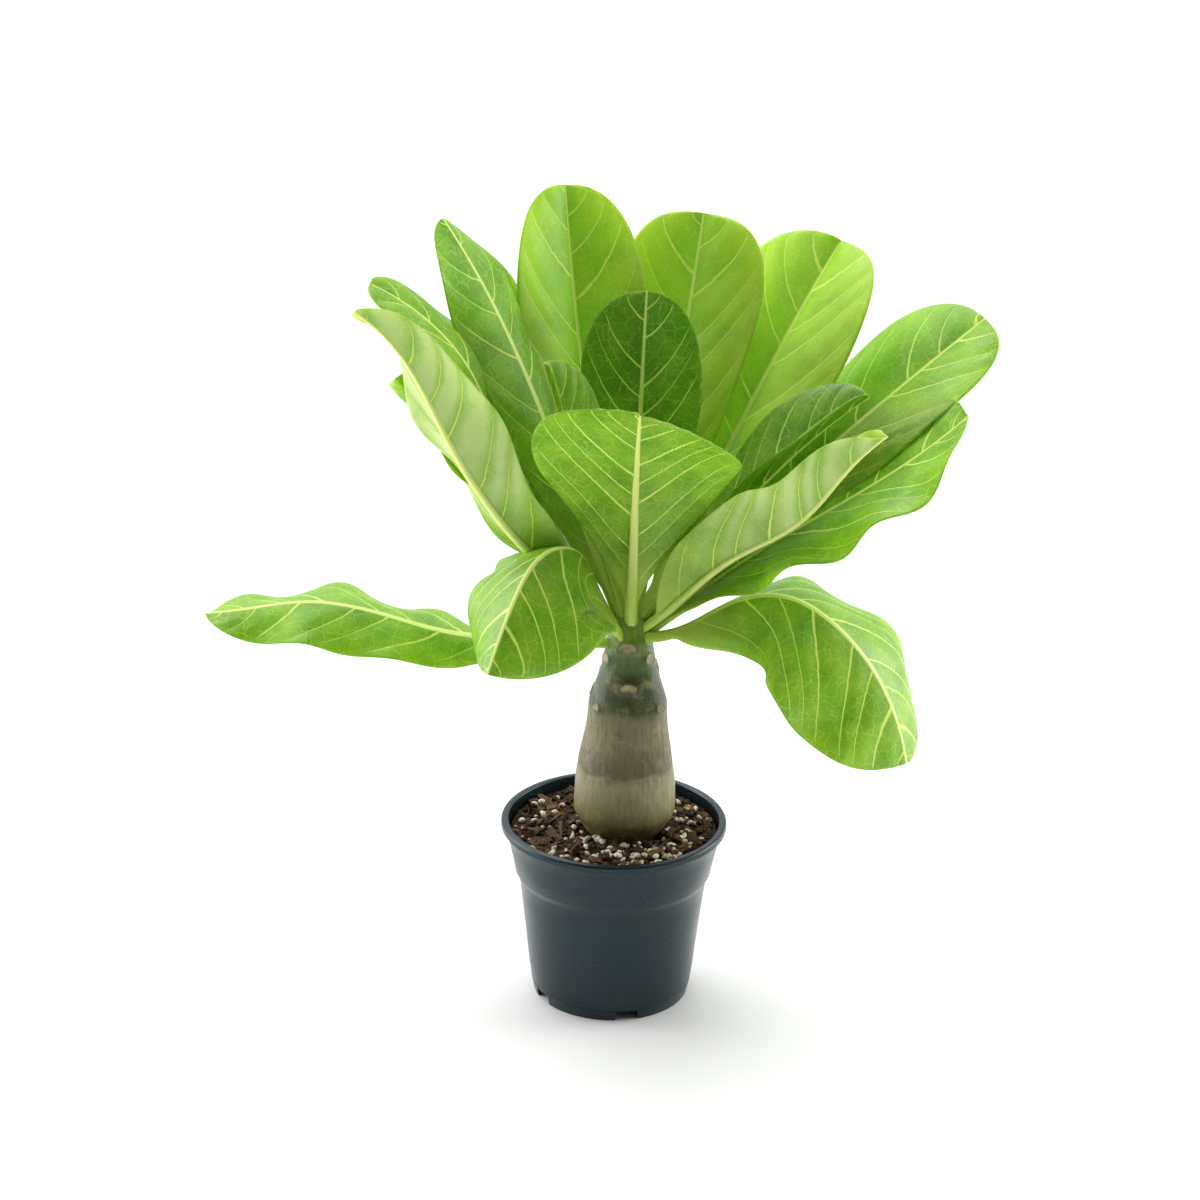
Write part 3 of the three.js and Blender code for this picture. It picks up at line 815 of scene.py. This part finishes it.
def leaf_surfaces(leaf, share, across, seed):
    """The upper and lower face of a leaf, and what its material reads, at each share and place across."""
    side = np.where(across < 0, -1.0, 1.0)
    out = np.abs(across)
    place, left, up = midrib(leaf, share)
    half = half_width(leaf, share) * (1 + 0.025 * np.sin(9 * share + 2 * side + seed))
    reach = out * half
    fold = np.where(side < 0, along(leaf["right"], share), along(leaf["left"], share))
    arch = np.radians(SHOULDER)
    at_rib = np.radians(fold) + arch / 2
    here = np.radians(fold) + arch * (0.5 - out) - 1e-4
    level = reach * (np.sin(here) - np.sin(at_rib)) / (here - at_rib)
    lift = reach * (np.cos(at_rib) - np.cos(here)) / (here - at_rib)
    normal = up * np.cos(here)[:, None] - left * (side * np.sin(here))[:, None]
    sheet = place + left * (side * level)[:, None] + up * lift[:, None]

    bladed = smooth(0.10, 0.35, share)
    height, count, phase = leaf["wave"]
    ripple = height * out ** 2 * np.sin(2 * math.pi * (count * share + phase + 0.35 * (side < 0)))
    swing = SWING_HEIGHT * np.sin(5.1 * share + 1.7 * across + seed) * out
    pitch = leaf["length"] / VEIN_PAIRS
    travelled = share * leaf["length"]
    lead = reach * (0.6 + 0.85 * out)
    vein = (travelled - lead) / pitch + 0.5 * (side < 0) + seed
    vein = vein + 0.16 * np.sin(2.3 * vein + seed)
    from_vein = np.abs(vein - np.round(vein)) * pitch
    quilted = smooth(2, 9, reach) * (1 - smooth(0.82, 1.0, out)) * bladed
    quilt = QUILT_HEIGHT * quilted * (np.minimum(from_vein / (0.5 * pitch), 1) ** 0.6 - 0.5)
    sheet = sheet + normal * ((ripple + swing) * bladed + quilt)[:, None]

    stalk = np.exp(-(share / 0.17) ** 2)
    blade_half = BLADE_HALF_THICKNESS * (1 - 0.45 * out)
    flesh = blade_half + STALK_FLESH * stalk * np.sqrt(np.clip(1 - out ** 2, 0, 1))
    rib_radius = RIB_AT_TIP + RIB_GAIN_AT_FOOT * (1 - share) ** 1.1
    rounded = np.sqrt(np.clip(1 - (reach / (rib_radius * 1.25)) ** 2, 0, 1))
    rib = rib_radius * rounded * smooth(0.02, 0.2, share)
    cord = CORD_HEIGHT * np.exp(-(from_vein / 0.8) ** 2) * (1 - smooth(0.3, 0.95, out)) * quilted
    groove = GROOVE_DEPTH * np.exp(-(reach / 1.6) ** 2) * bladed
    upper = sheet + normal * (flesh - groove)[:, None]
    lower = sheet - normal * (flesh + rib + cord)[:, None]
    kept = {
        "rib_mm": reach, "edge_mm": half - reach,
        "vein_count": vein, "vein_pitch": np.full_like(reach, pitch),
        "sheet_x": travelled, "sheet_y": across * half, "share": share,
        "tone_and_painted_light": np.full_like(reach, leaf["tone_and_painted_light"]),
        # The sheen number: painted whitish sheen, growing toward the tip.
        "painted_sheen": leaf.get("painted_sheen", 0) * smooth(0.15, 0.7, share),
    }
    return upper, lower, kept


def make_leaf(leaf, seed, upper_skin, lower_skin):
    bpy.ops.object.select_all(action="DESELECT")
    bpy.ops.mesh.primitive_grid_add(x_subdivisions=LEAF_COLUMNS, y_subdivisions=LEAF_ROWS, size=2)
    obj = bpy.context.object
    obj.data.materials.append(upper_skin)
    obj.data.materials.append(lower_skin)
    flat = points_of(obj.data)
    share = np.sin((flat[:, 1] + 1) / 2 * math.pi / 2) ** 1.15
    across = -np.sign(flat[:, 0]) * np.abs(flat[:, 0]) ** 1.35
    apply_modifier(obj, "SOLIDIFY", thickness=0.01, offset=-1, material_offset=1, material_offset_rim=1)
    upper, lower, kept = leaf_surfaces(leaf, share, across, seed)
    move_points(obj.data, np.vstack([upper, lower]) * MM)
    for name, values in kept.items():
        store(obj.data, name, np.concatenate([values, values]))
    only(obj)
    bpy.ops.object.shade_smooth()
    finish_piece(obj, leaf["name"] + "_blade", [upper_skin, lower_skin])
    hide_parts(leaf["name"])


def leaf_skin(name, colours, raised, roughness):
    """One face of a leaf: its green, its branching veins and the net of small ones between them."""
    material, tree = new_material(name)
    read = {
        key: add(tree, "ShaderNodeAttribute", out="Fac", attribute_name=key)
        for key in ("rib_mm", "edge_mm", "vein_count", "vein_pitch", "sheet_x", "sheet_y", "share",
                    "tone_and_painted_light", "painted_sheen")
    }
    sheet = add(tree, "ShaderNodeCombineXYZ", {"X": read["sheet_x"], "Y": read["sheet_y"]})
    drift = add(tree, "ShaderNodeTexNoise", {"Vector": sheet, "Scale": 0.16, "Detail": 3})
    bent = add(tree, "ShaderNodeVectorMath", {0: drift.node.outputs["Color"], "Scale": 5.0},
               operation="SCALE")
    wandering = add(tree, "ShaderNodeVectorMath", {0: sheet, 1: bent}, operation="ADD")

    wobble = add(tree, "ShaderNodeMath", {0: drift, 1: 0.09, 2: read["vein_count"]},
                 operation="MULTIPLY_ADD")
    shifted = add(tree, "ShaderNodeMath", {0: wobble, 1: 0.545}, operation="SUBTRACT")
    cycle = add(tree, "ShaderNodeMath", {0: shifted}, operation="FRACT")
    half_turn = add(tree, "ShaderNodeMath", {0: cycle, 1: 0.5}, operation="SUBTRACT")
    nearness = add(tree, "ShaderNodeMath", {0: half_turn}, operation="ABSOLUTE")
    from_vein = add(tree, "ShaderNodeMath", {0: nearness, 1: read["vein_pitch"]}, operation="MULTIPLY")
    thin_out = add(tree, "ShaderNodeMapRange", {0: read["edge_mm"], 1: 2.0, 2: 34.0, 3: 0.18, 4: 0.62})
    past_line = add(tree, "ShaderNodeMath", {0: from_vein, 1: thin_out}, operation="SUBTRACT")
    vein = add(tree, "ShaderNodeMapRange", {0: past_line, 1: -0.1, 2: 0.45, 3: 1.0, 4: 0.0},
               interpolation_type="SMOOTHSTEP")
    short_of_edge = add(tree, "ShaderNodeMapRange", {0: read["edge_mm"], 1: 1.5, 2: 6.0, 3: 0.0, 4: 1.0})
    veined = add(tree, "ShaderNodeMath", {0: vein, 1: short_of_edge}, operation="MULTIPLY")

    rib_width = add(tree, "ShaderNodeMapRange", {0: read["share"], 1: 0.1, 2: 1.0, 3: 2.6, 4: 0.6})
    past_rib = add(tree, "ShaderNodeMath", {0: read["rib_mm"], 1: rib_width}, operation="SUBTRACT")
    rib = add(tree, "ShaderNodeMapRange", {0: past_rib, 1: -0.4, 2: 0.5, 3: 1.0, 4: 0.0},
              interpolation_type="SMOOTHSTEP")

    branches = add(tree, "ShaderNodeTexVoronoi", {"Vector": wandering, "Scale": 0.12},
                   feature="DISTANCE_TO_EDGE")
    branch = add(tree, "ShaderNodeMapRange", {0: branches, 1: 0.008, 2: 0.04, 3: 1.0, 4: 0.0},
                 interpolation_type="SMOOTHSTEP")
    net = add(tree, "ShaderNodeTexVoronoi", {"Vector": wandering, "Scale": 0.33},
              feature="DISTANCE_TO_EDGE")
    mesh_lines = add(tree, "ShaderNodeMapRange", {0: net, 1: 0.0, 2: 0.12, 3: 1.0, 4: 0.0})

    patch = add(tree, "ShaderNodeTexNoise",
                {"Vector": sheet, "Scale": 0.045, "Detail": 4, "Roughness": 0.55})
    # The tone number is partly each leaf's own green and partly painted light: raised on the back leaves for
    # light shining through them, lowered on the centre leaf for painted shade.
    toned = add(tree, "ShaderNodeMath", {0: read["tone_and_painted_light"], 1: 0.42, 2: patch}, operation="MULTIPLY_ADD")
    green_share = add(tree, "ShaderNodeMapRange", {0: toned, 1: 0.12, 2: 0.88, 3: 0.0, 4: 1.0})
    green = add(tree, "ShaderNodeMix",
                {0: green_share, 6: linear(colours["dark"]), 7: linear(colours["light"])}, data_type="RGBA")
    # Painted sheen: a pale wax colour laid on the raised puffs between the veins, standing in for the
    # whitish sheen those puffs catch.
    raised_part = add(tree, "ShaderNodeMapRange", {0: nearness, 1: 0.04, 2: 0.42, 3: 0.25, 4: 1.15})
    sheen_patches = add(tree, "ShaderNodeMath", {0: patch, 1: read["painted_sheen"]}, operation="MULTIPLY")
    painted_sheen_mask = add(tree, "ShaderNodeMath", {0: sheen_patches, 1: raised_part}, operation="MULTIPLY", use_clamp=True)
    with_painted_sheen = add(tree, "ShaderNodeMix", {0: painted_sheen_mask, 6: green, 7: linear(colours["painted_sheen_colour"])}, data_type="RGBA")
    netted = add(tree, "ShaderNodeMath", {0: mesh_lines, 1: 0.11}, operation="MULTIPLY")
    with_net = add(tree, "ShaderNodeMix", {0: netted, 6: with_painted_sheen, 7: linear(colours["vein"])},
                   data_type="RGBA")
    branched = add(tree, "ShaderNodeMath", {0: branch, 1: 0.24}, operation="MULTIPLY")
    with_branches = add(tree, "ShaderNodeMix", {0: branched, 6: with_net, 7: linear(colours["vein"])},
                        data_type="RGBA")
    strong = add(tree, "ShaderNodeMath", {0: veined, 1: 0.95}, operation="MULTIPLY")
    with_veins = add(tree, "ShaderNodeMix", {0: strong, 6: with_branches, 7: linear(colours["vein"])},
                     data_type="RGBA")
    with_rib = add(tree, "ShaderNodeMix", {0: rib, 6: with_veins, 7: linear(colours["rib"])},
                   data_type="RGBA")
    near_stalk = add(tree, "ShaderNodeMapRange", {0: read["share"], 1: 0.08, 2: 0.34, 3: 0.85, 4: 0.0},
                     interpolation_type="SMOOTHSTEP")
    colour = add(tree, "ShaderNodeMix", {0: near_stalk, 6: with_rib, 7: linear(colours["stalk"])},
                 data_type="RGBA")

    lines = add(tree, "ShaderNodeMath", {0: branch, 1: 0.25, 2: veined}, operation="MULTIPLY_ADD")
    relief = add(tree, "ShaderNodeMath", {0: mesh_lines, 1: 0.12, 2: lines}, operation="MULTIPLY_ADD")
    height = add(tree, "ShaderNodeMath", {0: relief, 1: 1.0 if raised else -1.0}, operation="MULTIPLY")
    depth = 0.7 if raised else 0.3
    bump = add(tree, "ShaderNodeBump", {"Height": height, "Strength": depth, "Distance": 0.0005})
    rough = add(tree, "ShaderNodeMapRange",
                {0: patch, 1: 0.3, 2: 0.7, 3: roughness - 0.05, 4: roughness + 0.06})
    shade(tree, colour, rough, bump, IOR=1.42, Subsurface_Weight=0.4, Subsurface_Scale=0.003,
          Subsurface_Radius=(0.75, 1.0, 0.15))
    return material


def make_leaves():
    # The upper skin of a living leaf: waxy and satin, with sunken yellow-green veins, and on the cupped
    # leaves a pale painted sheen between the veins.
    upper = leaf_skin("leaf_upper_skin_grown", {
        "dark": "#528a04", "light": "#a0ca30", "vein": "#d3e66e",
        "rib": "#dfec88", "stalk": "#a9c648", "painted_sheen_colour": "#b9cf86",
    }, False, 0.42)
    # The underside: paler and duller, with its veins standing out, and a whitish painted sheen between the
    # veins of the cupped leaves.
    lower = leaf_skin("leaf_lower_skin_grown", {
        "dark": "#649614", "light": "#92bc34", "vein": "#c5dc80",
        "rib": "#cadf84", "stalk": "#b2cc5c", "painted_sheen_colour": "#e6edd6",
    }, True, 0.5)
    for number, leaf in enumerate(LEAVES):
        make_leaf(leaf, 1.37 * number, upper, lower)


make_camera()
make_studio()
make_pot()
make_stem()
make_soil()
make_crumbs()
make_leaves()
